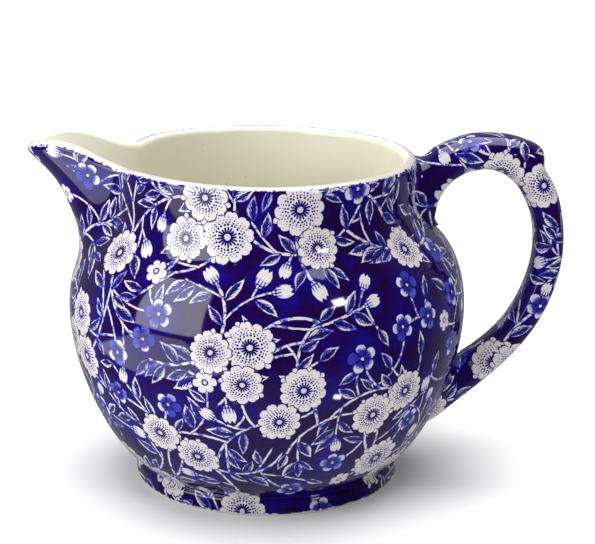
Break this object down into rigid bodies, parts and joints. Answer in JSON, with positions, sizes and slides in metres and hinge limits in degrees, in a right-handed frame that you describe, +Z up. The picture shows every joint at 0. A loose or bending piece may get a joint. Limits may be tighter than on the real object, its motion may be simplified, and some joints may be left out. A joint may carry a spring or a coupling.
{
  "type": "cream jug",
  "caption": "Small round-bellied pouring jug with a drawn spout, a loop handle and a printed blue and white glazed surface.",
  "frame": {"origin": "on the plane the foot stands on, under the middle of the whole jug's box", "axes": "+Z up out of the mouth, +X towards the handle, -X towards the spout, symmetric about the XZ plane"},
  "size_m": [0.1286, 0.0958, 0.0845],
  "materials": {
    "cream_glaze": "glossy clear glaze over a cream body, printed in blue outside",
    "blue_print_glaze": "glossy clear glaze over a blue printed pattern",
    "luting_slip": "fired slip under the same print and glaze"
  },
  "bodies": {
    "root": {"body": "cream_glaze", "handle": "blue_print_glaze", "upper_handle_joint": "luting_slip", "lower_handle_joint": "luting_slip"}
  },
  "joints": []
}
